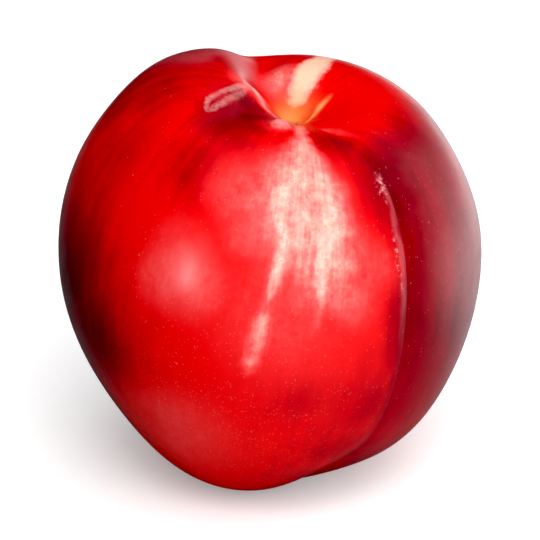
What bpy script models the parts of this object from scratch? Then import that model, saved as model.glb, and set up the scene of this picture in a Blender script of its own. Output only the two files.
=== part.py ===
"""A ripe nectarine, grown as one piece: two unequal lobes, a suture groove between them, a deep stem
cavity and a small stylar tip. It stands on a small flat spot, and the origin is the middle of that spot.

Metres, +Z up. Directions on the fruit are two angles in degrees: the polar angle, 0 at the stem end and
180 at the stylar end, and the azimuth, 0 at the front (-Y), 90 on the right (+X) and -90 on the left.
"""

import bmesh
import bpy
import numpy as np
from mathutils import Vector

# The body
BODY_RADIUS = 0.0343
BODY_STRETCH = 0.093  # how much longer the radius is towards both ends
AXIS_LEAN = 8.0  # degrees, the stem end leaning towards +X

# What makes the body uneven: polar angle, azimuth, spread in degrees, height in metres
SWELLS = (
    (40, -98, 28, 0.0035),  # the high left shoulder
    (54, -106, 14, -0.0009),
    (45, 100, 30, 0.0017),  # the right shoulder
    (52, 104, 20, -0.0015),  # flattened on its outside
    (28, -166, 13, -0.0009),  # the low rim at the back
    (82, -88, 32, 0.0013),  # the left cheek
    (85, 95, 30, 0.0003),  # the right cheek
    (112, 82, 18, -0.0005),
    (128, 75, 32, 0.0016),  # the right lobe's lower cheek
    (135, -72, 24, -0.0008),  # the left lobe's slim lower side
    (146, 52, 16, -0.0004),
    (150, 85, 24, 0.0003),
    (160, -12, 24, 0.0021),  # the left lobe's low front
    (11, -84, 8, 0.0013),  # the lip on the cavity's left
)

# The stem cavity, steep behind and shallow in front
CAVITY_DEPTH = 0.0124
CAVITY_SPREAD_BACK = 15.5  # degrees
CAVITY_SPREAD_FRONT = 26.0
CAVITY_FRONT_AZIMUTH = -5.0
CAVITY_SHARPNESS = 1.35
CAVITY_FLOOR = 4.0  # degrees over which the bottom of the cavity is round

# The suture groove, from the cavity down the front right to the base. Each row of its two tables is a
# polar angle, a spread in degrees and how much deeper or wider the groove is there, in metres.
SUTURE_AZIMUTH = 40.0
SUTURE_DEPTHS = ((24, 20, 0.0019), (90, 55, 0.00035), (147, 17, 0.0019))
SUTURE_WIDTH = 0.0013
SUTURE_WIDENINGS = ((24, 25, 0.0022), (150, 30, 0.0030))
SUTURE_SOFTNESS = 0.14  # how round the groove's bottom is, as a share of its width

# The fold at the cavity's back left, where the left lobe bulges over it
FOLD_DEPTHS = ((17, 17, 0.0037),)
FOLD_WIDTH = 0.0046
FOLD_SHARPNESS = 1.8
FOLD_INNER = (10, -132)  # polar angle and azimuth where the fold starts to swing
FOLD_OUTER = (30, -158)  # and where it has swung over

# The hollow in the left lobe's rim: a ledge on its left drops into it, and it runs out to the right
HOLLOW_DEPTHS = ((20, 11, 0.0017),)
HOLLOW_INNER = (8, -84)
HOLLOW_OUTER = (30, -50)
HOLLOW_DROP = 0.0024
HOLLOW_REACH = 0.0066
LEDGE_HEIGHTS = ((22, 10, 0.0004),)
LEDGE_OFFSET = 0.0014  # how far left of the drop the ledge is highest
LEDGE_WIDTH = 0.0013

# The stylar tip in its dimple, just behind the base
TIP_POLAR = 168.0
TIP_AZIMUTH = -140.0
TIP_HEIGHT = 0.0009
TIP_RADIUS = 0.0011
TIP_DIMPLE_DEPTH = 0.0010
TIP_DIMPLE_RADIUS = 0.0058

FLAT_DEPTH = 0.0004  # how much of the lowest point the flat spot takes off

# The grid of faces
RINGS = 60
COLUMNS = 84
RING_CROWDING = 1.25  # above 1, rings crowd towards the stem end
COLUMN_CROWDING = 0.2  # columns crowd towards the suture and the fold

SKIN_COLOUR = (0.62, 0.012, 0.018, 1.0)
SKIN_ROUGHNESS = 0.32


def turned(angle):
    """The angle, in radians, as its equal between -pi and pi."""
    return (angle + np.pi) % (2 * np.pi) - np.pi


def hump(distance, width, power=2.0):
    """1 at no distance, falling smoothly to 0 beyond the width."""
    return np.exp(-np.abs(distance / width) ** power)


def eased(value, start, end):
    """0 before start, 1 after end and a smooth step between."""
    share = np.clip((value - start) / (end - start), 0, 1)
    return share * share * (3 - 2 * share)


def angle_to(polar, azimuth, spot_polar, spot_azimuth):
    """The angle between each direction and one spot, in radians."""
    cosine = np.cos(polar) * np.cos(spot_polar)
    cosine = cosine + np.sin(polar) * np.sin(spot_polar) * np.cos(azimuth - spot_azimuth)
    return np.arccos(np.clip(cosine, -1, 1))


def across(polar, azimuth, line_azimuth):
    """How far a point is from a meridian, in metres along the skin, positive to its right."""
    return turned(azimuth - line_azimuth) * np.sin(polar) * BODY_RADIUS


def cavity(polar, azimuth):
    """How deep the stem cavity is below the round body."""
    facing_front = 0.5 * (1 + np.cos(azimuth - np.radians(CAVITY_FRONT_AZIMUTH)))
    spread = CAVITY_SPREAD_BACK + (CAVITY_SPREAD_FRONT - CAVITY_SPREAD_BACK) * facing_front
    floor = np.radians(CAVITY_FLOOR)
    rounded = np.sqrt(polar**2 + floor**2) - floor
    return CAVITY_DEPTH * hump(rounded, np.radians(spread), CAVITY_SHARPNESS)


def along(polar, rows):
    """The sum of soft humps along a meridian: polar angle, spread in degrees and size."""
    return sum(size * hump(polar - np.radians(place), np.radians(spread)) for place, spread, size in rows)


def swinging(polar, inner, outer):
    """The azimuth of a line that swings from one (polar angle, azimuth) to another."""
    share = eased(polar, np.radians(inner[0]), np.radians(outer[0]))
    return np.radians(inner[1]) + np.radians(outer[1] - inner[1]) * share


def suture(polar, azimuth):
    """How deep the suture groove is."""
    width = SUTURE_WIDTH + along(polar, SUTURE_WIDENINGS)
    distance = across(polar, azimuth, np.radians(SUTURE_AZIMUTH)) / width
    softened = np.sqrt(distance**2 + SUTURE_SOFTNESS**2) - SUTURE_SOFTNESS
    return along(polar, SUTURE_DEPTHS) * np.exp(-softened)


def fold(polar, azimuth):
    """How deep the fold between the two lobes is at the back of the cavity."""
    distance = across(polar, azimuth, swinging(polar, FOLD_INNER, FOLD_OUTER))
    return along(polar, FOLD_DEPTHS) * hump(distance, FOLD_WIDTH, FOLD_SHARPNESS)


def hollow(polar, azimuth):
    """How deep the hollow in the left lobe's rim is, less the ledge along its left side."""
    distance = across(polar, azimuth, swinging(polar, HOLLOW_INNER, HOLLOW_OUTER))
    inside = eased(distance, 0, HOLLOW_DROP) * hump(np.maximum(distance, 0), HOLLOW_REACH)
    ledge = along(polar, LEDGE_HEIGHTS) * hump(distance + LEDGE_OFFSET, LEDGE_WIDTH)
    return along(polar, HOLLOW_DEPTHS) * inside - ledge


def tip(polar, azimuth):
    """How high the stylar tip stands, less the dimple round it."""
    spot = np.radians(TIP_POLAR), np.radians(TIP_AZIMUTH)
    distance = angle_to(polar, azimuth, *spot) * BODY_RADIUS
    return TIP_HEIGHT * hump(distance, TIP_RADIUS) - TIP_DIMPLE_DEPTH * hump(distance, TIP_DIMPLE_RADIUS)


def skin_radius(polar, azimuth):
    """The distance from the middle of the fruit to its skin."""
    radius = BODY_RADIUS * (1 + BODY_STRETCH * np.cos(polar) ** 2)
    for spot_polar, spot_azimuth, spread, height in SWELLS:
        angle = angle_to(polar, azimuth, np.radians(spot_polar), np.radians(spot_azimuth))
        radius = radius + height * hump(angle, np.radians(spread))
    hollows = cavity(polar, azimuth) + suture(polar, azimuth) + fold(polar, azimuth) + hollow(polar, azimuth)
    return radius - hollows + tip(polar, azimuth)


def skin_points(polar, azimuth):
    """The skin's points for arrays of angles, on the leaning axis, round the middle of the fruit."""
    lean = np.radians(AXIS_LEAN)
    axis = np.array((np.sin(lean), 0, np.cos(lean)))
    right = np.array((np.cos(lean), 0, -np.sin(lean)))
    front = np.array((0, -1, 0))
    radius = skin_radius(polar, azimuth)[..., None]
    sideways = (np.sin(polar) * np.sin(azimuth))[..., None] * right
    forwards = (np.sin(polar) * np.cos(azimuth))[..., None] * front
    return radius * (sideways + forwards + np.cos(polar)[..., None] * axis)


def grid_angles():
    """The polar angle of each ring between the poles, and the azimuth of each column."""
    polar = np.pi * (np.arange(1, RINGS) / RINGS) ** RING_CROWDING
    turn = np.linspace(0, 2 * np.pi, COLUMNS, endpoint=False)
    azimuth = np.radians(SUTURE_AZIMUTH) + turn - COLUMN_CROWDING * np.sin(2 * turn)
    return polar, azimuth


def add_grid(mesh):
    """Fills a bmesh with the closed skin: rings of quads and a fan of triangles at each pole."""
    polar, azimuth = grid_angles()
    points = skin_points(*np.meshgrid(polar, azimuth, indexing="ij"))
    rings = [[mesh.verts.new(point) for point in ring] for ring in points]
    stem_pole, stylar_pole = (mesh.verts.new(p) for p in skin_points(np.array([0, np.pi]), np.zeros(2)))
    for column in range(COLUMNS):
        after = (column + 1) % COLUMNS
        for upper, lower in zip(rings, rings[1:]):
            mesh.faces.new((upper[column], lower[column], lower[after], upper[after]))
        mesh.faces.new((stem_pole, rings[0][column], rings[0][after]))
        mesh.faces.new((stylar_pole, rings[-1][after], rings[-1][column]))


def cut_flat_spot(mesh):
    """Cuts the flat spot and moves the fruit so that the origin is the middle of it."""
    height = min(vert.co.z for vert in mesh.verts) + FLAT_DEPTH
    everything = mesh.verts[:] + mesh.edges[:] + mesh.faces[:]
    cut = bmesh.ops.bisect_plane(
        mesh, geom=everything, plane_co=(0, 0, height), plane_no=(0, 0, -1), clear_outer=True
    )
    edges = [item for item in cut["geom_cut"] if isinstance(item, bmesh.types.BMEdge)]
    flat = bmesh.ops.contextual_create(mesh, geom=edges)["faces"][0]
    flat.smooth = False
    middle = flat.calc_center_median_weighted()
    bmesh.ops.translate(mesh, verts=mesh.verts[:], vec=Vector((-middle.x, -middle.y, -height)))


def make_skin_material():
    material = bpy.data.materials.new("nectarine_skin")
    material.use_nodes = True
    shader = material.node_tree.nodes["Principled BSDF"]
    shader.inputs["Base Color"].default_value = SKIN_COLOUR
    shader.inputs["Roughness"].default_value = SKIN_ROUGHNESS
    shader.inputs["Metallic"].default_value = 0.0
    return material


def make_nectarine():
    mesh = bmesh.new()
    add_grid(mesh)
    for face in mesh.faces:
        face.smooth = True
    cut_flat_spot(mesh)
    bmesh.ops.recalc_face_normals(mesh, faces=mesh.faces[:])
    data = bpy.data.meshes.new("nectarine")
    mesh.to_mesh(data)
    mesh.free()
    data.materials.append(make_skin_material())
    nectarine = bpy.data.objects.new("nectarine", data)
    bpy.context.scene.collection.objects.link(nectarine)


def main():
    for leftover in list(bpy.data.objects):
        bpy.data.objects.remove(leftover)
    make_nectarine()


main()
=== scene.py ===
"""The looks of one ripe nectarine: its skin as a fine mesh with the cavity's wrinkles, the stem scar, the
suture's crease and a callus, its colours, the floor, the light and the camera.

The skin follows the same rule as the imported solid, so it keeps its form. Metres, +Z up. Directions on the
fruit are two angles: the polar angle, 0 at the stem end and 180 at the stylar end, and the azimuth, 0 at the
front (-Y), 90 on the right (+X) and -90 on the left. The named values hold them in degrees, unless they say
otherwise, and the functions that shape and colour the skin take them in radians.
"""

import bpy
import numpy as np
from mathutils import Matrix, Vector, noise


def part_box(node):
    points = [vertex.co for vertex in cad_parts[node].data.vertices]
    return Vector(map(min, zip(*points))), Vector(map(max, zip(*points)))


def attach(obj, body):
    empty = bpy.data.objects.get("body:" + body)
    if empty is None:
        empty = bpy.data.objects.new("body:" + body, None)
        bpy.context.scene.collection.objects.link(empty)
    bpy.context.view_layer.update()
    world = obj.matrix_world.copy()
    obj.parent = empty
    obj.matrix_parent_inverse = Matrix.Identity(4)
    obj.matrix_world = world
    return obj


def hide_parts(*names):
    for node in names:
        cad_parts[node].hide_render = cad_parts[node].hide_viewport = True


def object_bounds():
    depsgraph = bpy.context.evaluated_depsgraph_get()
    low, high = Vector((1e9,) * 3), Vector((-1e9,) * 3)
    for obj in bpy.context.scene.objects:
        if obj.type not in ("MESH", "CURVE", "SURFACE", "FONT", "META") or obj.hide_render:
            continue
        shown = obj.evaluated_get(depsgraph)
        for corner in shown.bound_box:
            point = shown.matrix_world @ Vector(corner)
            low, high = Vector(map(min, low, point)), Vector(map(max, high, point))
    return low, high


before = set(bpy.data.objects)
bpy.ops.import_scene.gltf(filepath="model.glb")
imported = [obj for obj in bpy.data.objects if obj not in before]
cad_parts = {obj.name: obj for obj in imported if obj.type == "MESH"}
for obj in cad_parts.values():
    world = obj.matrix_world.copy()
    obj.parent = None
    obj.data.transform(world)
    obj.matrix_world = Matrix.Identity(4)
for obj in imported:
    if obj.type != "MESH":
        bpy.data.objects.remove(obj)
CAD_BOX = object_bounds()

# The body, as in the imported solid
BODY_RADIUS = 0.0343
BODY_STRETCH = 0.093  # how much longer the radius is towards both ends
AXIS_LEAN = 8.0  # degrees, the stem end leaning towards +X

# What makes the body uneven: polar angle, azimuth, spread in degrees, height in metres
SWELLS = (
    (40, -98, 28, 0.0035),  # the high left shoulder
    (54, -106, 14, -0.0009),
    (45, 100, 30, 0.0017),  # the right shoulder
    (52, 104, 20, -0.0015),  # flattened on its outside
    (28, -166, 13, -0.0009),  # the low rim at the back
    (82, -88, 32, 0.0013),  # the left cheek
    (85, 95, 30, 0.0003),  # the right cheek
    (112, 82, 18, -0.0005),
    (128, 75, 32, 0.0016),  # the right lobe's lower cheek
    (135, -72, 24, -0.0008),  # the left lobe's slim lower side
    (146, 52, 16, -0.0004),
    (150, 85, 24, 0.0003),
    (160, -12, 24, 0.0021),  # the left lobe's low front
    (11, -84, 8, 0.0013),  # the lip on the cavity's left
)

# The stem cavity, steep behind and shallow in front
CAVITY_DEPTH = 0.0124
CAVITY_SPREAD_BACK = 15.5  # degrees
CAVITY_SPREAD_FRONT = 26.0
CAVITY_FRONT_AZIMUTH = -5.0
CAVITY_SHARPNESS = 1.35
CAVITY_FLOOR = 4.0  # degrees over which the bottom of the cavity is round

# The suture groove, from the cavity down the front right to the base. Each row of its two tables is a
# polar angle, a spread in degrees and how much deeper or wider the groove is there, in metres.
SUTURE_AZIMUTH = 40.0
SUTURE_DEPTHS = ((24, 20, 0.0019), (90, 55, 0.00035), (147, 17, 0.0019))
SUTURE_WIDTH = 0.0013
SUTURE_WIDENINGS = ((24, 25, 0.0022), (150, 30, 0.0030))
SUTURE_SOFTNESS = 0.14  # how round the groove's bottom is, as a share of its width

# The fold at the cavity's back left, where the left lobe bulges over it
FOLD_DEPTHS = ((17, 17, 0.0037),)
FOLD_WIDTH = 0.0046
FOLD_SHARPNESS = 1.8
FOLD_INNER = (10, -132)  # polar angle and azimuth where the fold starts to swing
FOLD_OUTER = (30, -158)  # and where it has swung over

# The hollow in the left lobe's rim: a ledge on its left drops into it, and it runs out to the right
HOLLOW_DEPTHS = ((20, 11, 0.0017),)
HOLLOW_INNER = (8, -84)
HOLLOW_OUTER = (30, -50)
HOLLOW_DROP = 0.0024
HOLLOW_REACH = 0.0066
LEDGE_HEIGHTS = ((22, 10, 0.0004),)
LEDGE_OFFSET = 0.0014  # how far left of the drop the ledge is highest
LEDGE_WIDTH = 0.0013

# The stylar tip in its dimple, just behind the base
TIP_POLAR = 168.0
TIP_AZIMUTH = -140.0
TIP_HEIGHT = 0.0009
TIP_RADIUS = 0.0011
TIP_DIMPLE_DEPTH = 0.0010
TIP_DIMPLE_RADIUS = 0.0058

FLAT_DEPTH = 0.0004  # how much of the lowest point the flat spot takes off

# The fine grid of faces
RINGS = 280
COLUMNS = 330
RING_CROWDING = 1.25  # above 1, rings crowd towards the stem end
COLUMN_CROWDING = 0.2  # columns crowd towards the suture and the fold

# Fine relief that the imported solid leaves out
UNDULATION_HEIGHT = 0.00011
UNDULATION_SIZE = 0.013  # metres from swell to swell
WRINKLE_HEIGHT = 0.00013  # in the cavity, running out from the stem scar
WRINKLE_COUNT = 4.2
WRINKLE_BREAKS = 1.5  # how often a wrinkle changes on its way out
WRINKLE_FINE_SIZE = 0.4  # the finer wrinkles among them, as shares of their size and height
WRINKLE_FINE_HEIGHT = 0.5
WRINKLE_START = 4.0  # degrees
WRINKLE_REACH = 15.0
SCAR_RADIUS = 0.0016  # where the stem broke off
SCAR_RIM = 0.00022
SCAR_RIM_WIDTH = 0.0004
SCAR_ROUGHNESS = 0.00012  # how high the grain of its face is
SCAR_GRAIN = 0.0007  # and how large
CREASE_DEPTH = 0.00006  # the fine line along the suture
CREASE_WIDTH = 0.00035
CREASE_WANDER = 0.0005
CREASE_BENDS = 0.35  # radians from bend to bend
CREASE_START = (0.2, 0.5)  # polar angles in radians over which it sets in
CREASE_END = (2.6, 2.95)
CALLUS_PLACE = (21.3, -12.5)  # polar angle and azimuth, beside the cavity
CALLUS_RADIUS = 0.0019
CALLUS_HEIGHT = 0.0014
CALLUS_CORK = 0.8  # how much cork covers it

# Streaks that stayed pale: (polar angle, azimuth, half width in metres, strength) from top to bottom
PINK_FAN = (
    (11, 16, 0.0005, 0.20),
    (14, 12, 0.0009, 0.42),
    (19, 7, 0.0011, 0.48),
    (25, 3.5, 0.0013, 0.50),
    (30, 3.5, 0.0020, 0.50),
    (35, 4.5, 0.0036, 0.50),
    (42, 5, 0.0052, 0.55),
    (52, 5.5, 0.0064, 0.56),
    (60, 7, 0.0064, 0.55),
    (67, 10, 0.0058, 0.44),
    (73, 13, 0.0045, 0.28),
    (82, 10, 0.0040, 0.0),
)
RIGHT_STREAK = (
    (26, 5, 0.0007, 0.40),
    (31, 8, 0.0014, 0.42),
    (37, 10, 0.0022, 0.48),
    (44, 12, 0.0031, 0.70),
    (52, 13.2, 0.0035, 0.75),
    (58, 14, 0.0032, 0.74),
    (64, 12.5, 0.0024, 0.80),
    (69, 12, 0.0018, 0.78),
    (74, 12, 0.0013, 0.60),
    (79, 12, 0.0008, 0.35),
    (85, 12, 0.0006, 0.0),
)
LEFT_STREAK = (
    (30, -1, 0.0008, 0.38),
    (37, -1.5, 0.0015, 0.42),
    (44, -2, 0.0020, 0.52),
    (51, -3, 0.0023, 0.70),
    (56, -1.8, 0.0020, 0.74),
    (61, 0, 0.0015, 0.71),
    (68, 0, 0.0014, 0.70),
    (74, -1.2, 0.0012, 0.55),
    (79, -2.5, 0.0009, 0.36),
    (83, -3, 0.0011, 0.52),
    (90, -4, 0.0014, 0.52),
    (96, -4.8, 0.0012, 0.46),
    (101, -5.5, 0.0007, 0.0),
)
FLASH = (  # on the cavity's far wall
    (6, 172, 0.0012, 0.0),
    (8.5, 172, 0.0023, 0.72),
    (12, 170, 0.0027, 0.84),
    (16, 168, 0.0028, 0.90),
    (20, 165, 0.0026, 0.96),
    (25, 162.5, 0.0018, 0.98),
    (31, 162, 0.0017, 0.85),
    (40, 158, 0.0016, 0.50),
    (52, 156, 0.0010, 0.0),
)
RAY = (  # a thin ray beside the flash
    (5, 60, 0.0004, 0.5),
    (7, 90, 0.0008, 0.80),
    (9, 108, 0.0009, 0.80),
    (11, 115, 0.0007, 0.55),
    (14, 120, 0.0005, 0.0),
)
# Painted highlights: faint pale lines where the edges beside the suture's top catch the light
SUTURE_GLINTS = (
    (
        (12, 24, 0.0006, 0.0),
        (16, 37, 0.0010, 0.18),
        (20, 43, 0.0011, 0.20),
        (27, 46, 0.0010, 0.10),
        (34, 47, 0.0006, 0.0),
    ),
    (
        (17, 51, 0.0006, 0.0),
        (20, 53, 0.0011, 0.06),
        (26, 55, 0.0012, 0.07),
        (33, 58, 0.0012, 0.05),
        (42, 62, 0.0008, 0.0),
    ),
)
# The painted highlight along the sharp edge round the cavity's left and front: (azimuth, polar angle, half
# width in metres, strength)
RIM_GLINT = (
    (-104, 15, 0.0006, 0.0),
    (-92, 13.5, 0.0009, 0.50),
    (-70, 11.5, 0.0007, 0.56),
    (-40, 11, 0.0006, 0.50),
    (0, 12.5, 0.0006, 0.42),
    (30, 14, 0.0005, 0.0),
)
# Two corky scuffs along the suture, in the streaks' form
SCUFFS = (
    (
        (40, 38.5, 0.0005, 0.0),
        (43, 38, 0.0012, 0.75),
        (47, 37, 0.0014, 0.74),
        (53, 35.5, 0.0006, 0.0),
    ),
    (
        (54, 36.5, 0.0003, 0.0),
        (60, 36.3, 0.0005, 0.54),
        (67, 36.3, 0.0006, 0.56),
        (75, 37.8, 0.0004, 0.46),
        (80, 38, 0.0003, 0.0),
    ),
)
# A corky loop on the ledge of the left lobe's rim: its two sides and the skin between them
LEDGE_LOOP = (
    (
        (14, -86, 0.0009, 0.3),
        (16, -79, 0.0010, 0.64),
        (20, -71, 0.0008, 0.58),
        (25, -65, 0.0007, 0.55),
        (29, -61, 0.0007, 0.58),
        (31, -56, 0.0007, 0.55),
        (33, -52, 0.0005, 0.0),
    ),
    (
        (14, -80, 0.0007, 0.2),
        (18, -68, 0.0007, 0.38),
        (21, -62, 0.0007, 0.38),
        (26, -55, 0.0007, 0.44),
        (30, -53, 0.0007, 0.50),
        (33, -53, 0.0005, 0.0),
    ),
    (
        (15, -80, 0.0009, 0.2),
        (22, -65, 0.0015, 0.16),
        (27, -58, 0.0016, 0.16),
        (31, -55, 0.0009, 0.0),
    ),
)
# Painted reflection on the crest of the left lobe: a pale greyish sheen where light glances off it
CREST_SHEEN = (
    (14, -98, 0.0010, 0.0),
    (17, -110, 0.0018, 0.42),
    (20, -128, 0.0026, 0.38),
    (24, -134, 0.0042, 0.38),
    (27, -126, 0.0052, 0.35),
    (31, -118, 0.0056, 0.32),
    (36, -112, 0.0054, 0.25),
    (44, -108, 0.0030, 0.0),
)
# The same painted sheen along the suture
SUTURE_SHEEN = (
    (38, 38.0, 0.0009, 0.0),
    (46, 37.8, 0.0009, 0.30),
    (60, 37.4, 0.0008, 0.36),
    (80, 37.8, 0.0009, 0.30),
    (98, 38.5, 0.0009, 0.0),
)
# A fainter, wider painted sheen on the right lobe
LOBE_SHEEN = (
    (24, 58, 0.0030, 0.0),
    (32, 60, 0.0050, 0.14),
    (42, 60, 0.0075, 0.24),
    (60, 58, 0.0080, 0.23),
    (80, 58, 0.0080, 0.21),
    (105, 60, 0.0060, 0.0),
)
# The same painted sheen on the left shoulder's top, beside the crest
SHOULDER_SHEEN = (
    (22, -106, 0.0020, 0.0),
    (27, -112, 0.0050, 0.34),
    (35, -110, 0.0068, 0.32),
    (46, -106, 0.0068, 0.18),
    (58, -100, 0.0050, 0.0),
)
# All the tables of painted sheen
PAINTED_SHEENS = (CREST_SHEEN, SUTURE_SHEEN, LOBE_SHEEN, SHOULDER_SHEEN)
# Soft pink haze, partly pale skin and partly painted highlight and sheen: (polar angle, azimuth, spread in
# degrees, strength)
HAZE_AND_SHEEN = (
    (50, -17, 11, 0.28),
    (44, -7, 9, 0.30),
    (60, -11, 10, 0.26),
    (64, 19, 9, 0.30),
    # these three spread the lamp's highlight on the left front: painted highlight
    (70, -30, 15, 0.15),
    (78, -21, 10, 0.25),
    (78, -33, 11, 0.24),
    (68, 27, 10, 0.22),
    (77, 21, 9, 0.28),
    (22, -18, 6, 0.16),
    # painted highlight on the corner of the cavity's left rim
    (15, -93, 4.5, 0.42),
    (80, 2, 24, 0.19),
    (126, -26, 20, 0.19),
    (17, -162, 6, 0.50),
    # painted highlight on the edge at the suture's top
    (14, 50, 7, 0.10),
)
# Crimson skin and painted shade: (polar angle, azimuth, spread in degrees, strength)
CRIMSON_AND_SHADE = (
    # the hollow in the left lobe's rim: darker skin with painted shade
    (22, -40, 8, 1.0),
    (18, -60, 6, 0.85),
    (29, -42, 11, 0.82),
    (34, -33, 9, 0.55),
    (26, -27, 6, 0.75),
    (49, -35, 14, 0.50),
    (28, 31, 9, 0.62),
    (88, 120, 50, 0.60),
    (107, 13, 9, 0.28),
    (106, 34, 17, 0.55),
    (122, 50, 30, 0.5),
    (156, 30, 30, 0.40),
    # painted shade down the left cheek, where the light falls away
    (112, -86, 34, 1.05),
    (106, -60, 20, 1.15),
    (97, -72, 22, 1.20),
    # darker skin and painted shade on the left shoulder
    (38, -80, 13, 0.60),
    (52, -66, 12, 0.35),
    (38, -104, 22, 0.75),
    (110, 175, 52, 0.95),
)
# The right lobe is crimson too. The colour sets in before the suture and again at it, in metres across the
# suture. The rest is in radians: where it pales a little and ends to the right, and its top and its foot.
LOBE_APPROACH = (-0.0090, -0.0002)
LOBE_EDGE = (-0.0024, 0.0006)
LOBE_EDGE_SHARE = 0.30
LOBE_PALING = (0.4, 0.9)
LOBE_PALING_SHARE = 0.30
LOBE_END = (1.0, 2.0)
LOBE_TOP = (0.36, 0.76)
LOBE_FOOT = (1.5, 2.2)
LOBE_FOOT_SHARE = 0.45
LOBE_CRIMSON = 1.02

# Single soft patches: (polar angle, azimuth, spread in degrees)
PIT = (3, -170, 6.5)  # the orange bottom of the cavity
MATTE_WALL = (22, -54, 8)  # the hollow's steep wall
LOW_LEFT = (130, -20, 36)  # where the lenticels are densest

# The share of cells that hold a small lenticel: everywhere, and added at the low left
SPECKLE_EVERYWHERE = 0.20
SPECKLE_LOW_LEFT = 0.75

# How far the edges of streaks and of the painted sheen stray from their lines, in wide bends and in fine
# ones
RAGGED_WIDTH = 0.0007
RAGGED_SIZE = 0.0035
RAGGED_FINE_WIDTH = 0.00042
RAGGED_FINE_SIZE = 0.0011
RAGGED_STRETCH = 0.35  # below 1, the bends are longer along the fruit's height
RAGGED_POLE = 0.2  # keeps the bends small at the poles

# How sharp the edges of some shapes are: 2 is a soft hump
STREAK_SHARPNESS = 2.2
FAN_SHARPNESS = 2.8
FLASH_SHARPNESS = 2.6

FLOW_STRETCH = 0.14  # how fast the noise that runs along the meridians changes along them

# The map of two discs, as shares of its side
DISC_RADIUS = 0.288
DISC_CENTRE = 0.292

# Colours of the skin
SCARLET = (0.70, 0.0105, 0.0120, 1.0)
CRIMSON = (0.27, 0.004, 0.013, 1.0)
# the darkest red: painted shade on the left cheek and in the hollow, and the right lobe's deepest crimson
MAROON = (0.085, 0.004, 0.008, 1.0)
# the pale colours serve the painted highlights and the painted part of the haze too
PALE_COLOURS = (  # how pale the skin is, and its colour there
    (0.00, SCARLET),
    (0.15, (0.74, 0.026, 0.028, 1.0)),
    (0.30, (0.79, 0.070, 0.070, 1.0)),
    (0.48, (0.82, 0.165, 0.150, 1.0)),
    (0.68, (0.84, 0.320, 0.265, 1.0)),
    (0.86, (0.86, 0.480, 0.400, 1.0)),
    (1.00, (0.88, 0.580, 0.490, 1.0)),
)
FLASH_EDGE = (0.84, 0.320, 0.265, 1.0)
STRAW = (0.90, 0.52, 0.36, 1.0)
ORANGE = (0.86, 0.27, 0.075, 1.0)
AMBER = (0.90, 0.44, 0.16, 1.0)
CORK = (0.30, 0.14, 0.06, 1.0)
SCUFF = (0.82, 0.33, 0.32, 1.0)
# the greyish pink of the painted sheen
SHEEN_PINK = (0.60, 0.14, 0.155, 1.0)
FLECK = (0.45, 0.03, 0.03, 1.0)
LENTICEL = (0.80, 0.24, 0.20, 1.0)

# Between which values of their fields these colours set in
CRIMSON_RANGE = (0.0, 0.8)
MAROON_RANGE = (0.65, 1.40)
PALE_RANGE = (0.02, 0.17)
FLASH_EDGE_RANGE = (0.15, 0.55)
STRAW_RANGE = (0.45, 0.85)
CORK_RANGE = (0.35, 0.95)
FLECK_RANGE = (0.4, 0.8)

# Noise in the skin: scale, detail and roughness. The first two run along the meridians.
STRIPES = (14, 5, 0.6)
BLOTCHES = (42, 5, 0.65)
CLOUDS = (55, 5, 0.6)
CLOUDLETS = (170, 4, 0.6)
GLOSS_PATCHES = (260, 3, 0.5)
PATCHES = (320, 4, 0.6)
GRAIN = (900, 3, 0.6)
PEEL = (1100, 2, 0.5)
CRUMBS = (1500, 3, 0.6)

# How strongly the noise moves these fields, and between which of their values it sets in
CLOUD_SWING = 1.0
STRIPE_SWING = 0.55
COARSE_SWING = 0.50
COARSE_ONSET = (0.0, 0.62)
PATCH_SWING = 0.55
GRAIN_SWING = 0.50
FINE_ONSET = (0.0, 0.55)
# for the painted sheen
SHEEN_SWING = 0.3
SHEEN_ONSET = (0.0, 0.4)
FLASH_ONSET = (0.0, 0.4)
SCUFF_SWING = 2.2
SCUFF_MIDDLE = 0.55  # above one half, more of the scuffs is broken away
SCUFF_ONSET = (0.05, 0.4)
CALLUS_SWING = 1.1
CORK_ONSET = (0.05, 0.3)

# Dots in the skin: cells to a metre, and the radius of the largest as a share of a cell
FLECKS = (1700, 0.40)
SMALL_LENTICELS = (1900, 0.36)
LARGE_LENTICELS = (1000, 0.24)
SMALLEST_DOT = 0.55  # as a share of the largest
DOT_CORE = 0.45  # how much of a dot's radius is solid
FLECK_SHARE = 0.25  # how many cells on pale skin hold a fleck
LARGE_SHARE = 0.28  # how many of its cells hold a large lenticel, against the small ones' share

# How strongly each of these covers the skin
PIT_COVER = 0.85
CORK_COVER = 0.75
FLECK_COVER = 0.45
SMALL_COVER = 0.16
LARGE_COVER = 0.22

# The skin's gloss. The roughness stays above 0.275, below which the denoiser draws lines round patches.
ROUGHNESS = (0.28, 0.335)
WORN_ROUGHNESS = 0.4  # added on the scar and the matte wall
CORK_ROUGHNESS = 0.4  # the share of that on cork
SPECULAR = 0.25
COAT = 0.06
COAT_ROUGHNESS = 0.2
BUMP_STRENGTH = 0.25
BUMP_DISTANCE = 0.00005
PEEL_HEIGHT = 0.25  # as a share of the bump

# The floor: its colours for the camera and for what the skin takes from it, as cards beside it would do
FLOOR_SIDE = 4.0
FLOOR_GAP = 0.00005
FLOOR_COLOUR = (0.88, 0.88, 0.88, 1.0)
DARK_FLOOR = (0.15, 0.15, 0.15, 1.0)  # in the gloss, but for the floor behind the fruit on its right
DIM_FLOOR = (0.32, 0.32, 0.32, 1.0)  # in the diffuse light, on the left
FLOOR_GLOW = 0.28  # what the camera sees on top of the light
FLOOR_GLOW_IN_GLOSS = 1.2  # behind the fruit on its right
FLOOR_ROUGHNESS = 0.8
FLOOR_SPECULAR = 0.1
WHITE = (1.0, 1.0, 1.0, 1.0)

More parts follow.
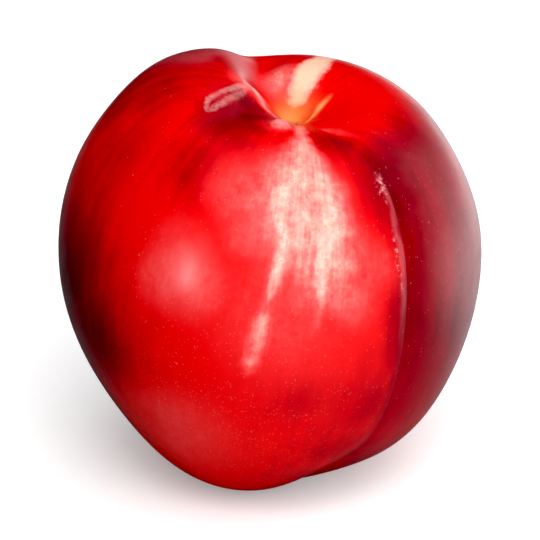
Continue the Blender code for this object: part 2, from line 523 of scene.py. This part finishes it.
# Between which places the floor changes, in metres
FLOOR_RIGHTWARDS = (0.0, 0.15)
FLOOR_BACKWARDS = (-0.03, 0.05)
FLOOR_OUT_OF_DIM = (-0.08, 0.03)  # from the left

# The backdrop's brightness
BACKDROP_IN_GLOSS = 1.4  # low at the back right
BACKDROP_ABOVE = 0.005  # the share of that which is left above
BACKDROP_TILT = 0.35  # how much higher it is bright towards the right
BACKDROP_LEFT = 0.06  # in the diffuse light
BACKDROP_RIGHT = 0.72

# Between which directions the backdrop changes, as parts of unit vectors
BACKDROP_RIGHTWARDS = (-0.08, 0.75)
BACKDROP_BACKWARDS = (0.02, 0.55)
BACKDROP_UPWARDS = (-0.32, 0.40)
BACKDROP_ACROSS = (-0.6, 0.7)  # in the diffuse light

# Lamps: name, azimuth, elevation, distance, width, height, radiance, and whether only the gloss sees it
LAMPS = (
    ("highlight", -46, 10, 0.9, 0.085, 0.27, 36.0, True),
    ("key", 6, 40, 1.0, 0.7, 0.8, 5.7, False),
    ("top", 40, 78, 1.0, 1.2, 1.2, 1.15, False),
)
BLACK_LEVEL = 0.024

CAMERA_ELEVATION = 24.0
CAMERA_DISTANCE = 0.9
CAMERA_SENSOR = 36.0  # millimetres
VIEW_WIDTH = 0.090  # how much the frame takes in at the fruit


def turned(angle):
    """The angle, in radians, as its equal between -pi and pi."""
    return (angle + np.pi) % (2 * np.pi) - np.pi


def hump(distance, width, power=2.0):
    """1 at no distance, falling smoothly to 0 beyond the width."""
    return np.exp(-np.abs(distance / width) ** power)


def eased(value, start, end):
    """0 before start, 1 after end and a smooth step between."""
    share = np.clip((value - start) / (end - start), 0, 1)
    return share * share * (3 - 2 * share)


def angle_to(polar, azimuth, spot_polar, spot_azimuth):
    """The angle between each direction and one spot, in radians."""
    cosine = np.cos(polar) * np.cos(spot_polar)
    cosine = cosine + np.sin(polar) * np.sin(spot_polar) * np.cos(azimuth - spot_azimuth)
    return np.arccos(np.clip(cosine, -1, 1))


def spot(polar, azimuth, place, power=2.0):
    """A soft round patch at one (polar angle, azimuth, spread in degrees)."""
    spot_polar, spot_azimuth, spread = np.radians(place)
    return hump(angle_to(polar, azimuth, spot_polar, spot_azimuth), spread, power)


def across(polar, azimuth, line_azimuth):
    """How far a point is from a meridian, in metres along the skin, positive to its right."""
    return turned(azimuth - line_azimuth) * np.sin(polar) * BODY_RADIUS


def cavity(polar, azimuth):
    """How deep the stem cavity is below the round body."""
    facing_front = 0.5 * (1 + np.cos(azimuth - np.radians(CAVITY_FRONT_AZIMUTH)))
    spread = CAVITY_SPREAD_BACK + (CAVITY_SPREAD_FRONT - CAVITY_SPREAD_BACK) * facing_front
    floor = np.radians(CAVITY_FLOOR)
    rounded = np.sqrt(polar**2 + floor**2) - floor
    return CAVITY_DEPTH * hump(rounded, np.radians(spread), CAVITY_SHARPNESS)


def along(polar, rows):
    """The sum of soft humps along a meridian: polar angle, spread in degrees and size."""
    return sum(size * hump(polar - np.radians(place), np.radians(spread)) for place, spread, size in rows)


def swinging(polar, inner, outer):
    """The azimuth of a line that swings from one (polar angle, azimuth) to another."""
    share = eased(polar, np.radians(inner[0]), np.radians(outer[0]))
    return np.radians(inner[1]) + np.radians(outer[1] - inner[1]) * share


def suture(polar, azimuth):
    """How deep the suture groove is."""
    width = SUTURE_WIDTH + along(polar, SUTURE_WIDENINGS)
    distance = across(polar, azimuth, np.radians(SUTURE_AZIMUTH)) / width
    softened = np.sqrt(distance**2 + SUTURE_SOFTNESS**2) - SUTURE_SOFTNESS
    return along(polar, SUTURE_DEPTHS) * np.exp(-softened)


def fold(polar, azimuth):
    """How deep the fold between the two lobes is at the back of the cavity."""
    distance = across(polar, azimuth, swinging(polar, FOLD_INNER, FOLD_OUTER))
    return along(polar, FOLD_DEPTHS) * hump(distance, FOLD_WIDTH, FOLD_SHARPNESS)


def hollow(polar, azimuth):
    """How deep the hollow in the left lobe's rim is, less the ledge along its left side."""
    distance = across(polar, azimuth, swinging(polar, HOLLOW_INNER, HOLLOW_OUTER))
    inside = eased(distance, 0, HOLLOW_DROP) * hump(np.maximum(distance, 0), HOLLOW_REACH)
    ledge = along(polar, LEDGE_HEIGHTS) * hump(distance + LEDGE_OFFSET, LEDGE_WIDTH)
    return along(polar, HOLLOW_DEPTHS) * inside - ledge


def tip(polar, azimuth):
    """How high the stylar tip stands, less the dimple round it."""
    middle = np.radians(TIP_POLAR), np.radians(TIP_AZIMUTH)
    distance = angle_to(polar, azimuth, *middle) * BODY_RADIUS
    return TIP_HEIGHT * hump(distance, TIP_RADIUS) - TIP_DIMPLE_DEPTH * hump(distance, TIP_DIMPLE_RADIUS)


def directions(polar, azimuth):
    """Unit vectors for arrays of angles, on the leaning axis."""
    lean = np.radians(AXIS_LEAN)
    axis = np.array((np.sin(lean), 0, np.cos(lean)))
    right = np.array((np.cos(lean), 0, -np.sin(lean)))
    front = np.array((0, -1, 0))
    sideways = (np.sin(polar) * np.sin(azimuth))[..., None] * right
    forwards = (np.sin(polar) * np.cos(azimuth))[..., None] * front
    return sideways + forwards + np.cos(polar)[..., None] * axis


def noise_at(points, size, seed):
    """Smooth noise between about -1 and 1 at each point of an array, with features of that size."""
    flat = points.reshape(-1, 3) / size + seed
    values = np.array([noise.noise(Vector(point)) for point in flat])
    return values.reshape(points.shape[:-1])


def to_callus(polar, azimuth):
    """How far each point is from the middle of the callus, in metres."""
    return angle_to(polar, azimuth, *np.radians(CALLUS_PLACE)) * BODY_RADIUS


def wrinkles(polar, azimuth):
    """How high the wrinkles in the cavity stand."""
    circle = np.stack((np.cos(azimuth), np.sin(azimuth), WRINKLE_BREAKS * polar), axis=-1)
    rays = noise_at(circle, 1 / WRINKLE_COUNT, seed=7.7)
    fine_rays = noise_at(circle, WRINKLE_FINE_SIZE / WRINKLE_COUNT, seed=1.9)
    in_cavity = hump(polar, np.radians(WRINKLE_REACH)) * eased(polar, 0.0, np.radians(WRINKLE_START))
    return WRINKLE_HEIGHT * (rays + WRINKLE_FINE_HEIGHT * fine_rays) * in_cavity


def stem_scar(polar, out):
    """How high the scar's rim and its rough face stand."""
    from_pole = polar * BODY_RADIUS
    rim = SCAR_RIM * hump(from_pole - SCAR_RADIUS, SCAR_RIM_WIDTH)
    grain = SCAR_ROUGHNESS * noise_at(out * BODY_RADIUS, SCAR_GRAIN, seed=5.3)
    return rim + hump(from_pole, SCAR_RADIUS, power=4) * grain


def crease(polar, azimuth):
    """How deep the fine line along the suture is."""
    zero = 0 * polar
    wander = CREASE_WANDER * noise_at(np.stack((polar, zero, zero), axis=-1), CREASE_BENDS, seed=2.2)
    beside = across(polar, azimuth, np.radians(SUTURE_AZIMUTH)) + wander
    length = eased(polar, *CREASE_START) * (1 - eased(polar, *CREASE_END))
    return CREASE_DEPTH * hump(beside, CREASE_WIDTH) * length


def fine_relief(polar, azimuth):
    """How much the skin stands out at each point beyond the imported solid's form."""
    out = directions(polar, azimuth)
    undulation = UNDULATION_HEIGHT * noise_at(out * BODY_RADIUS, UNDULATION_SIZE, seed=3.1)
    callus = CALLUS_HEIGHT * hump(to_callus(polar, azimuth), CALLUS_RADIUS, power=3)
    raised = undulation + wrinkles(polar, azimuth) + stem_scar(polar, out) + callus
    return raised - crease(polar, azimuth)


def skin_radius(polar, azimuth):
    """The distance from the middle of the fruit to its skin."""
    radius = BODY_RADIUS * (1 + BODY_STRETCH * np.cos(polar) ** 2)
    for *place, height in SWELLS:
        radius = radius + height * spot(polar, azimuth, place)
    hollows = sum(dip(polar, azimuth) for dip in (cavity, suture, fold, hollow))
    return radius - hollows + tip(polar, azimuth)


def grid_angles():
    """Arrays of the polar angles and azimuths of the grid, one row for each ring, with the poles last."""
    polar = np.pi * (np.arange(1, RINGS) / RINGS) ** RING_CROWDING
    turn = np.linspace(0, 2 * np.pi, COLUMNS, endpoint=False)
    azimuth = np.radians(SUTURE_AZIMUTH) + turn - COLUMN_CROWDING * np.sin(2 * turn)
    polar, azimuth = (grid.ravel() for grid in np.meshgrid(polar, azimuth, indexing="ij"))
    return np.append(polar, (0, np.pi)), np.append(azimuth, (0, 0))


def grid_faces():
    """Rings of quads, and a fan of triangles at each pole."""
    stem_pole = (RINGS - 1) * COLUMNS
    last = (RINGS - 2) * COLUMNS
    faces = []
    for column in range(COLUMNS):
        after = (column + 1) % COLUMNS
        faces.append((stem_pole, column, after))
        faces.append((stem_pole + 1, last + after, last + column))
        for start in range(0, last, COLUMNS):
            below = start + COLUMNS
            faces.append((start + column, below + column, below + after, start + after))
    return faces


def fitted(points):
    """The points with the flat spot pressed in, placed in the CAD node's box and no larger than it."""
    low, high = (np.array(corner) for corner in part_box("nectarine"))
    points = points.copy()
    ground = points[:, 2].min() + FLAT_DEPTH
    points[:, 2] = np.maximum(points[:, 2], ground) - ground
    mine_low, mine_high = points.min(axis=0), points.max(axis=0)
    middle = (low + high) / 2 - (mine_low + mine_high) / 2
    points[:, :2] += middle[:2]
    scale = min(1.0, ((high - low) / (mine_high - mine_low)).min())
    foot = np.array(((low[0] + high[0]) / 2, (low[1] + high[1]) / 2, 0))
    return foot + (points - foot) * scale


def ragged(polar, azimuth):
    """The azimuth with small sideways shifts that follow the meridians, for edges that look grown."""
    out = directions(polar, azimuth) * BODY_RADIUS
    out[:, 2] *= RAGGED_STRETCH
    bends = RAGGED_WIDTH * noise_at(out, RAGGED_SIZE, seed=4.4)
    fine_bends = RAGGED_FINE_WIDTH * noise_at(out, RAGGED_FINE_SIZE, seed=8.1)
    return azimuth + (bends + fine_bends) / (BODY_RADIUS * np.maximum(np.sin(polar), RAGGED_POLE))


def streak(polar, azimuth, stations, sharpness=STREAK_SHARPNESS):
    """How much a streak through those stations covers each point."""
    places, azimuths, widths, strengths = np.array(stations, float).T
    at = np.degrees(polar)
    middle = np.radians(np.interp(at, places, azimuths))
    width = np.interp(at, places, widths)
    strength = np.interp(at, places, strengths, left=0, right=0)
    return strength * hump(across(polar, azimuth, middle), width, sharpness)


def strongest(polar, azimuth, streaks):
    """The strongest of several streaks at each point."""
    return np.max([streak(polar, azimuth, stations) for stations in streaks], axis=0)


def rim_glint(polar, azimuth):
    """How much the painted highlight on the cavity's edge covers each point."""
    azimuths, places, widths, strengths = np.array(RIM_GLINT, float).T
    at = np.degrees(turned(azimuth))
    beside = (polar - np.radians(np.interp(at, azimuths, places))) * BODY_RADIUS
    strength = np.interp(at, azimuths, strengths, left=0, right=0)
    return strength * hump(beside, np.interp(at, azimuths, widths))


def spots(polar, azimuth, places):
    """The strongest of several round soft patches at each point."""
    cover = np.zeros_like(polar)
    for *place, strength in places:
        cover = np.maximum(cover, strength * spot(polar, azimuth, place))
    return cover


def lobe_crimson(polar, azimuth):
    """How crimson the right lobe is."""
    line = np.radians(SUTURE_AZIMUTH)
    beyond = across(polar, azimuth, line)
    at_edge = LOBE_EDGE_SHARE * eased(beyond, *LOBE_EDGE)
    before = (1 - LOBE_EDGE_SHARE) * eased(beyond, *LOBE_APPROACH)
    past = turned(azimuth - line)
    rightwards = (1 - LOBE_PALING_SHARE * eased(past, *LOBE_PALING)) * (1 - eased(past, *LOBE_END))
    downwards = eased(polar, *LOBE_TOP) * (1 - LOBE_FOOT_SHARE * eased(polar, *LOBE_FOOT))
    return LOBE_CRIMSON * (at_edge + before) * rightwards * downwards


def pattern(polar, azimuth):
    """The fields that the skin's material reads, by name."""
    grown = ragged(polar, azimuth)
    streaks = strongest(polar, grown, (RIGHT_STREAK, LEFT_STREAK))
    fan = streak(polar, grown, PINK_FAN, FAN_SHARPNESS)
    # painted highlights on the edges by the suture and round the cavity
    glints = np.maximum(strongest(polar, azimuth, SUTURE_GLINTS), rim_glint(polar, azimuth))
    haze_and_sheen = spots(polar, azimuth, HAZE_AND_SHEEN) * (1 - streaks)
    callus = CALLUS_CORK * hump(to_callus(polar, azimuth), CALLUS_RADIUS, power=4)
    return {
        "pale": np.max((streaks, fan, glints), axis=0) + haze_and_sheen,
        "flash": streak(polar, azimuth, FLASH, FLASH_SHARPNESS),
        "amber": streak(polar, azimuth, RAY),
        "scuff": strongest(polar, azimuth, SCUFFS),
        "callus": np.maximum(strongest(polar, azimuth, LEDGE_LOOP), callus),
        "painted_sheen": strongest(polar, grown, PAINTED_SHEENS),
        "crimson_with_shade": np.maximum(spots(polar, azimuth, CRIMSON_AND_SHADE), lobe_crimson(polar, azimuth)),
        "pit": spot(polar, azimuth, PIT, power=2.5),
        "matte": spot(polar, azimuth, MATTE_WALL, power=3),
        "scar": hump(polar * BODY_RADIUS, SCAR_RADIUS, power=6),
        "speckle": SPECKLE_EVERYWHERE + SPECKLE_LOW_LEFT * spot(polar, azimuth, LOW_LEFT),
    }


def add_map(mesh, polar, azimuth):
    """A map of two discs, the stem side and the stylar side, each with even areas."""
    layer = mesh.uv_layers.new(name="OFBake")
    corners = np.empty(len(mesh.loops), np.int32)
    mesh.loops.foreach_get("vertex_index", corners)
    starts = np.empty(len(mesh.polygons), np.int32)
    sizes = np.empty(len(mesh.polygons), np.int32)
    mesh.polygons.foreach_get("loop_start", starts)
    mesh.polygons.foreach_get("loop_total", sizes)
    mean_polar = np.add.reduceat(polar[corners], starts) / sizes
    rings = np.unique(polar)
    border = rings[np.abs(rings - np.pi / 2).argmin()]
    stem_side = np.repeat(mean_polar < border, sizes)
    half = polar[corners] / 2
    reach = np.where(stem_side, np.sin(half) / np.sin(border / 2), np.cos(half) / np.cos(border / 2))
    turn = np.where(stem_side, azimuth[corners], -azimuth[corners])
    middle = np.where(stem_side, DISC_CENTRE, 1 - DISC_CENTRE)
    across_disc = middle + DISC_RADIUS * reach * np.cos(turn)
    up_disc = middle + DISC_RADIUS * reach * np.sin(turn)
    uv = np.stack((across_disc, up_disc), axis=-1)
    layer.data.foreach_set("uv", uv.astype(np.float32).ravel())


def make_skin():
    """The fruit as one fine mesh, with the fields of its pattern on its points."""
    polar, azimuth = grid_angles()
    reach = skin_radius(polar, azimuth) + fine_relief(polar, azimuth)
    points = fitted(reach[:, None] * directions(polar, azimuth))
    mesh = bpy.data.meshes.new("nectarine_skin")
    mesh.from_pydata(points.tolist(), [], grid_faces())
    mesh.polygons.foreach_set("use_smooth", [True] * len(mesh.polygons))
    add_map(mesh, polar, azimuth)
    for name, values in pattern(polar, azimuth).items():
        layer = mesh.attributes.new(name, "FLOAT", "POINT")
        layer.data.foreach_set("value", values.astype(np.float32))
    flow = mesh.attributes.new("flow", "FLOAT_VECTOR", "POINT")
    along_meridians = np.stack((np.cos(azimuth), np.sin(azimuth), FLOW_STRETCH * polar), axis=-1)
    flow.data.foreach_set("vector", along_meridians.astype(np.float32).ravel())
    mesh.update()
    skin = bpy.data.objects.new("nectarine_skin", mesh)
    bpy.context.scene.collection.objects.link(skin)
    return skin


def link(tree, source, socket):
    """Sets a socket to a constant, or links it to another node's output."""
    if isinstance(source, bpy.types.NodeSocket):
        tree.links.new(source, socket)
    else:
        socket.default_value = source


def attribute(tree, name, output="Fac"):
    made = tree.nodes.new("ShaderNodeAttribute")
    made.attribute_name = name
    return made.outputs[output]


def calculate(tree, operation, first, second):
    made = tree.nodes.new("ShaderNodeMath")
    made.operation = operation
    link(tree, first, made.inputs[0])
    link(tree, second, made.inputs[1])
    return made.outputs[0]


def product(tree, first, second):
    return calculate(tree, "MULTIPLY", first, second)


def total(tree, first, second):
    return calculate(tree, "ADD", first, second)


def larger(tree, first, second):
    return calculate(tree, "MAXIMUM", first, second)


def mixed(tree, share, first, second):
    """The first colour where the share is 0 and the second where it is 1."""
    made = tree.nodes.new("ShaderNodeMix")
    made.data_type = "RGBA"
    made.clamp_factor = True
    link(tree, share, made.inputs[0])
    link(tree, first, made.inputs[6])  # 6, 7 and 2 are the node's sockets for colours
    link(tree, second, made.inputs[7])
    return made.outputs[2]


def step(tree, value, start, end, low=0.0, high=1.0):
    """A smooth step from low at start to high at end."""
    made = tree.nodes.new("ShaderNodeMapRange")
    made.interpolation_type = "SMOOTHSTEP"
    for name, setting in (("From Min", start), ("From Max", end), ("To Min", low), ("To Max", high)):
        made.inputs[name].default_value = setting
    link(tree, value, made.inputs["Value"])
    return made.outputs["Result"]


def noisy(tree, vector, scale, detail, roughness):
    made = tree.nodes.new("ShaderNodeTexNoise")
    link(tree, vector, made.inputs["Vector"])
    made.inputs["Scale"].default_value = scale
    made.inputs["Detail"].default_value = detail
    made.inputs["Roughness"].default_value = roughness
    return made.outputs[0]


def dots(tree, vector, density, scale, radius):
    """Small round dots, one in as many cells as the density says."""
    cells = tree.nodes.new("ShaderNodeTexVoronoi")
    link(tree, vector, cells.inputs["Vector"])
    cells.inputs["Scale"].default_value = scale
    parts = tree.nodes.new("ShaderNodeSeparateColor")
    link(tree, cells.outputs["Color"], parts.inputs[0])
    chosen = calculate(tree, "LESS_THAN", parts.outputs[0], density)
    size = step(tree, parts.outputs[1], 0.0, 1.0, SMALLEST_DOT, 1.0)
    near = calculate(tree, "DIVIDE", cells.outputs["Distance"], size)
    return product(tree, step(tree, near, radius, radius * DOT_CORE), chosen)


def ramped(tree, value, stops):
    """The colour at a value, between the colours of its stops."""
    made = tree.nodes.new("ShaderNodeValToRGB")
    ramp = made.color_ramp
    while len(ramp.elements) < len(stops):
        ramp.elements.new(1.0)
    for element, (position, colour) in zip(ramp.elements, stops):
        element.position = position
        element.color = colour
    link(tree, value, made.inputs[0])
    return made.outputs[0]


def swing(tree, texture, size, middle=0.5):
    """The texture's value less its middle, times a size."""
    return product(tree, calculate(tree, "SUBTRACT", texture, middle), size)


def red_skin(tree, place, flow):
    """Red skin, from scarlet to crimson and maroon, in clouds and in stripes along the meridians, with
    painted shade on the left and in the hollow.
    """
    clouds = swing(tree, noisy(tree, place, *CLOUDS), CLOUD_SWING)
    stripes = swing(tree, noisy(tree, flow, *STRIPES), STRIPE_SWING)
    depth = total(tree, attribute(tree, "crimson_with_shade"), total(tree, clouds, stripes))
    red = mixed(tree, step(tree, depth, *CRIMSON_RANGE), SCARLET, CRIMSON)
    return mixed(tree, step(tree, depth, *MAROON_RANGE), red, MAROON)


def cavity_colours(tree, skin, mottle, patches):
    """The flash on the cavity's far wall, the orange pit with its ray, and the stem scar, over the skin."""
    flash = attribute(tree, "flash")
    flash = total(tree, flash, product(tree, mottle, step(tree, flash, *FLASH_ONSET)))
    skin = mixed(tree, step(tree, flash, *FLASH_EDGE_RANGE), skin, FLASH_EDGE)
    skin = mixed(tree, step(tree, flash, *STRAW_RANGE), skin, STRAW)
    skin = mixed(tree, product(tree, attribute(tree, "pit"), PIT_COVER), skin, ORANGE)
    torn = step(tree, patches, 0.25, 0.65, 0.35, 1.0)
    skin = mixed(tree, product(tree, attribute(tree, "amber"), torn), skin, AMBER)
    return mixed(tree, attribute(tree, "scar"), skin, CORK)


def corky_places(tree, place):
    """How much cork covers the skin: broken up along the suture, and grainy on the loop and the callus."""
    crumbs = noisy(tree, place, *CRUMBS)
    scuff = attribute(tree, "scuff")
    callus = attribute(tree, "callus")
    broken = total(tree, scuff, swing(tree, crumbs, SCUFF_SWING, SCUFF_MIDDLE))
    broken = product(tree, step(tree, broken, *CORK_RANGE), step(tree, scuff, *SCUFF_ONSET))
    grainy = total(tree, callus, swing(tree, crumbs, CALLUS_SWING))
    inside = step(tree, larger(tree, callus, scuff), *CORK_ONSET)
    return product(tree, larger(tree, broken, grainy), inside)


def skin_colour(tree, place, flow, cork, large_lenticels):
    """The skin's colour at each point."""
    patches = noisy(tree, place, *PATCHES)
    blotches = swing(tree, noisy(tree, flow, *BLOTCHES), COARSE_SWING)
    cloudlets = swing(tree, noisy(tree, place, *CLOUDLETS), COARSE_SWING)
    grain = swing(tree, noisy(tree, place, *GRAIN), GRAIN_SWING)
    coarse = total(tree, blotches, cloudlets)
    fine = total(tree, swing(tree, patches, PATCH_SWING), grain)

    # Pale streaks and haze, with the painted highlights and sheen among them
    streaks = attribute(tree, "pale")
    coarse_here = product(tree, coarse, step(tree, streaks, *COARSE_ONSET))
    fine_here = product(tree, fine, step(tree, streaks, *FINE_ONSET))
    pale = total(tree, streaks, total(tree, coarse_here, fine_here))
    red = red_skin(tree, place, flow)
    skin = mixed(tree, step(tree, pale, *PALE_RANGE), red, ramped(tree, pale, PALE_COLOURS))

    # The painted sheen: greyish pink where light glances off the skin
    painted_sheen = attribute(tree, "painted_sheen")
    patchy_sheen = total(tree, painted_sheen, swing(tree, patches, SHEEN_SWING))
    skin = mixed(tree, product(tree, patchy_sheen, step(tree, painted_sheen, *SHEEN_ONSET)), skin, SHEEN_PINK)

    skin = cavity_colours(tree, skin, total(tree, coarse, fine), patches)
    skin = mixed(tree, product(tree, cork, CORK_COVER), skin, SCUFF)

    # Dark flecks on what is pale, and pale lenticels, fine and dense or larger and few
    flecks = dots(tree, place, product(tree, step(tree, pale, *FLECK_RANGE), FLECK_SHARE), *FLECKS)
    small_lenticels = dots(tree, place, attribute(tree, "speckle"), *SMALL_LENTICELS)
    skin = mixed(tree, product(tree, flecks, FLECK_COVER), skin, FLECK)
    skin = mixed(tree, product(tree, small_lenticels, SMALL_COVER), skin, LENTICEL)
    return mixed(tree, product(tree, large_lenticels, LARGE_COVER), skin, LENTICEL)


def skin_roughness(tree, place, cork):
    """The skin's roughness at each point: uneven, and more on cork, on the scar and on the matte wall."""
    even = step(tree, noisy(tree, place, *GLOSS_PATCHES), 0.3, 0.7, *ROUGHNESS)
    worn = larger(tree, attribute(tree, "scar"), product(tree, cork, CORK_ROUGHNESS))
    worn = larger(tree, worn, attribute(tree, "matte"))
    return total(tree, even, product(tree, worn, WORN_ROUGHNESS))


def skin_bump(tree, place, cork, large_lenticels):
    """A bump for the skin's fine grain, its lenticels and its cork."""
    grain = product(tree, noisy(tree, place, *PEEL), PEEL_HEIGHT)
    bump = tree.nodes.new("ShaderNodeBump")
    bump.inputs["Strength"].default_value = BUMP_STRENGTH
    bump.inputs["Distance"].default_value = BUMP_DISTANCE
    link(tree, total(tree, grain, larger(tree, large_lenticels, cork)), bump.inputs["Height"])
    return bump.outputs[0]


def skin_material():
    material = bpy.data.materials.new("nectarine_skin")
    material.use_nodes = True
    tree = material.node_tree
    shader = tree.nodes["Principled BSDF"]
    place = tree.nodes.new("ShaderNodeTexCoord").outputs["Object"]
    flow = attribute(tree, "flow", "Vector")
    cork = corky_places(tree, place)
    few = product(tree, attribute(tree, "speckle"), LARGE_SHARE)
    large_lenticels = dots(tree, place, few, *LARGE_LENTICELS)
    link(tree, skin_colour(tree, place, flow, cork, large_lenticels), shader.inputs["Base Color"])
    link(tree, skin_roughness(tree, place, cork), shader.inputs["Roughness"])
    link(tree, skin_bump(tree, place, cork, large_lenticels), shader.inputs["Normal"])
    shader.inputs["Specular IOR Level"].default_value = SPECULAR
    shader.inputs["Coat Weight"].default_value = COAT
    shader.inputs["Coat Roughness"].default_value = COAT_ROUGHNESS
    return material


def show_one_side(tree, shader):
    """Shows the shader on the faces' fronts and nothing on their backs."""
    clear = tree.nodes.new("ShaderNodeBsdfTransparent")
    side = tree.nodes.new("ShaderNodeNewGeometry")
    one_sided = tree.nodes.new("ShaderNodeMixShader")
    link(tree, side.outputs["Backfacing"], one_sided.inputs[0])
    link(tree, shader.outputs[0], one_sided.inputs[1])
    link(tree, clear.outputs[0], one_sided.inputs[2])
    link(tree, one_sided.outputs[0], tree.nodes["Material Output"].inputs["Surface"])


def floor_material():
    """Pale for the camera. The gloss and the diffuse light take other values from it, by place."""
    material = bpy.data.materials.new("floor")
    material.use_nodes = True
    tree = material.node_tree
    shader = tree.nodes["Principled BSDF"]
    rays = tree.nodes.new("ShaderNodeLightPath")
    place = tree.nodes.new("ShaderNodeSeparateXYZ")
    link(tree, tree.nodes.new("ShaderNodeTexCoord").outputs["Object"], place.inputs[0])
    rightwards = step(tree, place.outputs["X"], *FLOOR_RIGHTWARDS)
    behind = product(tree, rightwards, step(tree, place.outputs["Y"], *FLOOR_BACKWARDS))
    in_gloss = mixed(tree, behind, DARK_FLOOR, FLOOR_COLOUR)
    as_light = mixed(tree, step(tree, place.outputs["X"], *FLOOR_OUT_OF_DIM), DIM_FLOOR, FLOOR_COLOUR)
    colour = mixed(tree, rays.outputs["Is Diffuse Ray"], FLOOR_COLOUR, as_light)
    colour = mixed(tree, rays.outputs["Is Glossy Ray"], colour, in_gloss)
    link(tree, colour, shader.inputs["Base Color"])
    glow = product(tree, rays.outputs["Is Camera Ray"], FLOOR_GLOW)
    glow_in_gloss = product(tree, rays.outputs["Is Glossy Ray"], product(tree, behind, FLOOR_GLOW_IN_GLOSS))
    link(tree, total(tree, glow, glow_in_gloss), shader.inputs["Emission Strength"])
    shader.inputs["Emission Color"].default_value = WHITE
    shader.inputs["Roughness"].default_value = FLOOR_ROUGHNESS
    shader.inputs["Specular IOR Level"].default_value = FLOOR_SPECULAR
    show_one_side(tree, shader)
    return material


def make_floor():
    """A pale floor that isn't seen from below."""
    half = FLOOR_SIDE / 2
    mesh = bpy.data.meshes.new("floor")
    corners = [(-half, -half, 0), (half, -half, 0), (half, half, 0), (-half, half, 0)]
    mesh.from_pydata(corners, [], [(0, 1, 2, 3)])
    mesh.materials.append(floor_material())
    floor = bpy.data.objects.new("floor", mesh)
    floor.location.z = -FLOOR_GAP
    bpy.context.scene.collection.objects.link(floor)


def direction(azimuth, elevation):
    """A unit vector: azimuth 0 is towards -Y and 90 towards +X, in degrees."""
    azimuth, elevation = np.radians(azimuth), np.radians(elevation)
    flat = np.cos(elevation)
    return Vector((np.sin(azimuth) * flat, -np.cos(azimuth) * flat, np.sin(elevation)))


def add_softbox(target, name, azimuth, elevation, distance, width, height, radiance, glossy):
    """A rectangular lamp that faces the target, with a face of that radiance."""
    data = bpy.data.lights.new(name, "AREA")
    data.shape = "RECTANGLE"
    data.size = width
    data.size_y = height
    data.energy = radiance * np.pi * width * height
    lamp = bpy.data.objects.new(name, data)
    away = direction(azimuth, elevation)
    lamp.location = target + away * distance
    lamp.rotation_mode = "QUATERNION"
    lamp.rotation_quaternion = away.to_track_quat("Z", "Y")
    lamp.visible_glossy = glossy
    lamp.visible_diffuse = not glossy
    bpy.context.scene.collection.objects.link(lamp)


def make_world():
    """White for the camera, bright at the back right for the gloss, and soft from the right as light."""
    world = bpy.data.worlds.new("studio")
    world.use_nodes = True
    tree = world.node_tree
    background = tree.nodes["Background"]
    rays = tree.nodes.new("ShaderNodeLightPath")
    parts = tree.nodes.new("ShaderNodeSeparateXYZ")
    link(tree, tree.nodes.new("ShaderNodeTexCoord").outputs["Generated"], parts.inputs[0])
    rightwards = step(tree, parts.outputs["X"], *BACKDROP_RIGHTWARDS)
    backwards = step(tree, parts.outputs["Y"], *BACKDROP_BACKWARDS, 0.0, BACKDROP_IN_GLOSS)
    tilt = product(tree, parts.outputs["X"], BACKDROP_TILT)
    height = calculate(tree, "SUBTRACT", parts.outputs["Z"], tilt)
    low = step(tree, height, *BACKDROP_UPWARDS, 1.0, BACKDROP_ABOVE)
    in_gloss = product(tree, product(tree, rightwards, backwards), low)
    even = step(tree, parts.outputs["X"], *BACKDROP_ACROSS, BACKDROP_LEFT, BACKDROP_RIGHT)
    lit = mixed(tree, rays.outputs["Is Glossy Ray"], even, in_gloss)
    link(tree, mixed(tree, rays.outputs["Is Camera Ray"], lit, WHITE), background.inputs["Color"])
    bpy.context.scene.world = world


def develop():
    """A plain film response, with its black point set for full contrast."""
    view = bpy.context.scene.view_settings
    view.view_transform = "Standard"
    view.use_curve_mapping = True
    view.curve_mapping.black_level = (BLACK_LEVEL,) * 3
    view.curve_mapping.update()


def add_camera(target):
    data = bpy.data.cameras.new("camera")
    data.sensor_width = CAMERA_SENSOR
    data.lens = data.sensor_width * CAMERA_DISTANCE / VIEW_WIDTH
    camera = bpy.data.objects.new("camera", data)
    away = direction(0, CAMERA_ELEVATION)
    turn = away.to_track_quat("Z", "Y").to_matrix().to_4x4()
    camera.matrix_world = Matrix.Translation(target + away * CAMERA_DISTANCE) @ turn
    bpy.context.scene.collection.objects.link(camera)
    bpy.context.scene.camera = camera


def main():
    skin = make_skin()
    skin.data.materials.append(skin_material())
    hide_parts("nectarine")
    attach(skin, "root")
    make_floor()
    low, high = CAD_BOX
    middle = (low + high) / 2
    for lamp in LAMPS:
        add_softbox(middle, *lamp)
    make_world()
    develop()
    add_camera(middle)


main()
